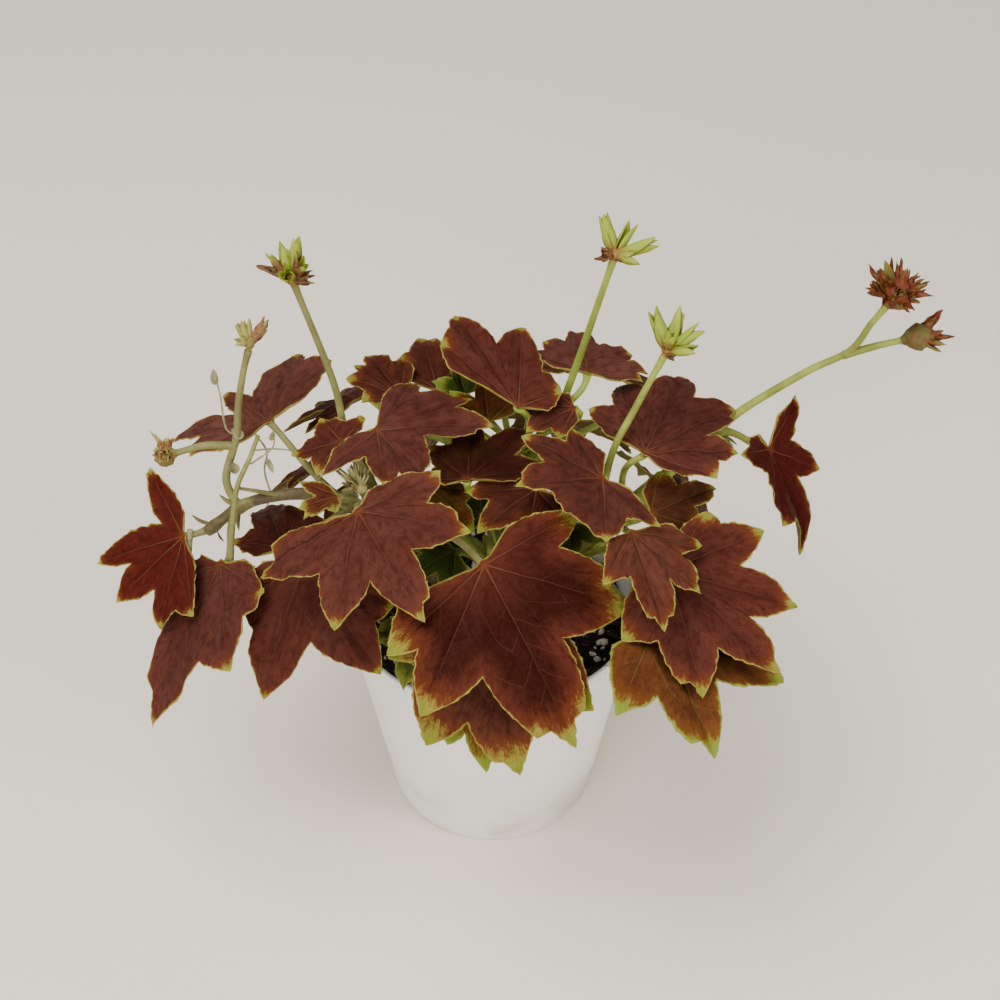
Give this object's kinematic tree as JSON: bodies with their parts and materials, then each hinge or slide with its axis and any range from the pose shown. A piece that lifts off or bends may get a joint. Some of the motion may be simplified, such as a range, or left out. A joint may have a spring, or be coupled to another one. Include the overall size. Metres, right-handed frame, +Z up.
{
  "type": "potted geranium",
  "caption": "Bedding geranium with lobed maroon, lime-edged leaves and budded flower stalks, growing in a round tapered plastic pot filled with potting mix.",
  "frame": {"origin": "centre of the pot's flat underside", "axes": "+Z up, +X to the right of the plant and -Y its front, the side the picture shows"},
  "size_m": [0.2568, 0.1636, 0.2165],
  "materials": {
    "pot": "matte off-white moulded plastic, slightly dusty",
    "soil": "loose moist near-black peat mix with pale perlite grains",
    "shoot": "pale yellow-green living stems, finely hairy, browner where old",
    "leaf_mature": "matte velvety maroon with a thin lime margin and pale veins",
    "leaf_young": "matte velvety, brown centre with a wide lime border",
    "leaf_green": "matte velvety fresh green with a faint brown zone",
    "leaf_red": "matte velvety red with a bright lime rim",
    "head_sepal": "matte lime sepals streaked with red-brown",
    "head_bud": "matte hairy green bud sepals",
    "head_rust": "matte rusty-brown faded sepals and petals",
    "head_dry": "matte dry tan sepals"
  },
  "bodies": {
    "root": {"pot": "pot", "soil": "soil", "shoot_centre": "shoot", "shoot_left": "shoot", "shoot_right": "shoot", "shoot_back": "shoot", "leaf_front_big": "leaf_mature", "leaf_front_mid": "leaf_mature", "leaf_front_low": "leaf_young", "leaf_left_front": "leaf_mature", "leaf_left_top": "leaf_mature", "leaf_mid_right": "leaf_mature", "leaf_right_small": "leaf_mature", "leaf_right_big": "leaf_mature", "leaf_right_low": "leaf_young", "leaf_right_back": "leaf_mature", "leaf_right_under": "leaf_young", "leaf_far_right": "leaf_mature", "leaf_top_tall": "leaf_mature", "leaf_top_flat": "leaf_mature", "leaf_centre_back": "leaf_mature", "leaf_centre_dark": "leaf_mature", "leaf_centre_hang": "leaf_young", "leaf_centre_low": "leaf_mature", "leaf_left_small": "leaf_mature", "leaf_left_tiny": "leaf_red", "leaf_left_winged": "leaf_mature", "leaf_far_left": "leaf_mature", "leaf_left_long": "leaf_mature", "leaf_left_lower": "leaf_mature", "leaf_left_shaded": "leaf_mature", "leaf_top_left_outer": "leaf_mature", "leaf_top_left_inner": "leaf_mature", "leaf_inner_left": "leaf_green", "leaf_inner_mid": "leaf_green", "leaf_inner_right": "leaf_green", "leaf_inner_front": "leaf_green", "leaf_bud_fold": "leaf_green", "leaf_bud_upright": "leaf_young", "leaf_back_upper_left": "leaf_mature", "leaf_back_upper_mid": "leaf_mature", "leaf_back_upper_right": "leaf_mature", "leaf_back_mid_left": "leaf_mature", "leaf_back_mid_right": "leaf_mature", "leaf_back_far_left": "leaf_mature", "leaf_back_far_right": "leaf_mature", "leaf_side_left": "leaf_mature", "leaf_side_right": "leaf_mature", "leaf_back_lower_left": "leaf_young", "leaf_back_lower_mid": "leaf_young", "leaf_back_lower_right": "leaf_young", "head_back_left": "head_sepal", "head_back_right": "head_sepal", "head_middle": "head_sepal", "head_far_right": "head_rust", "head_far_right_side": "head_rust", "head_left_old": "head_dry", "head_left_bud": "head_dry", "head_young": "head_bud"}
  },
  "joints": []
}
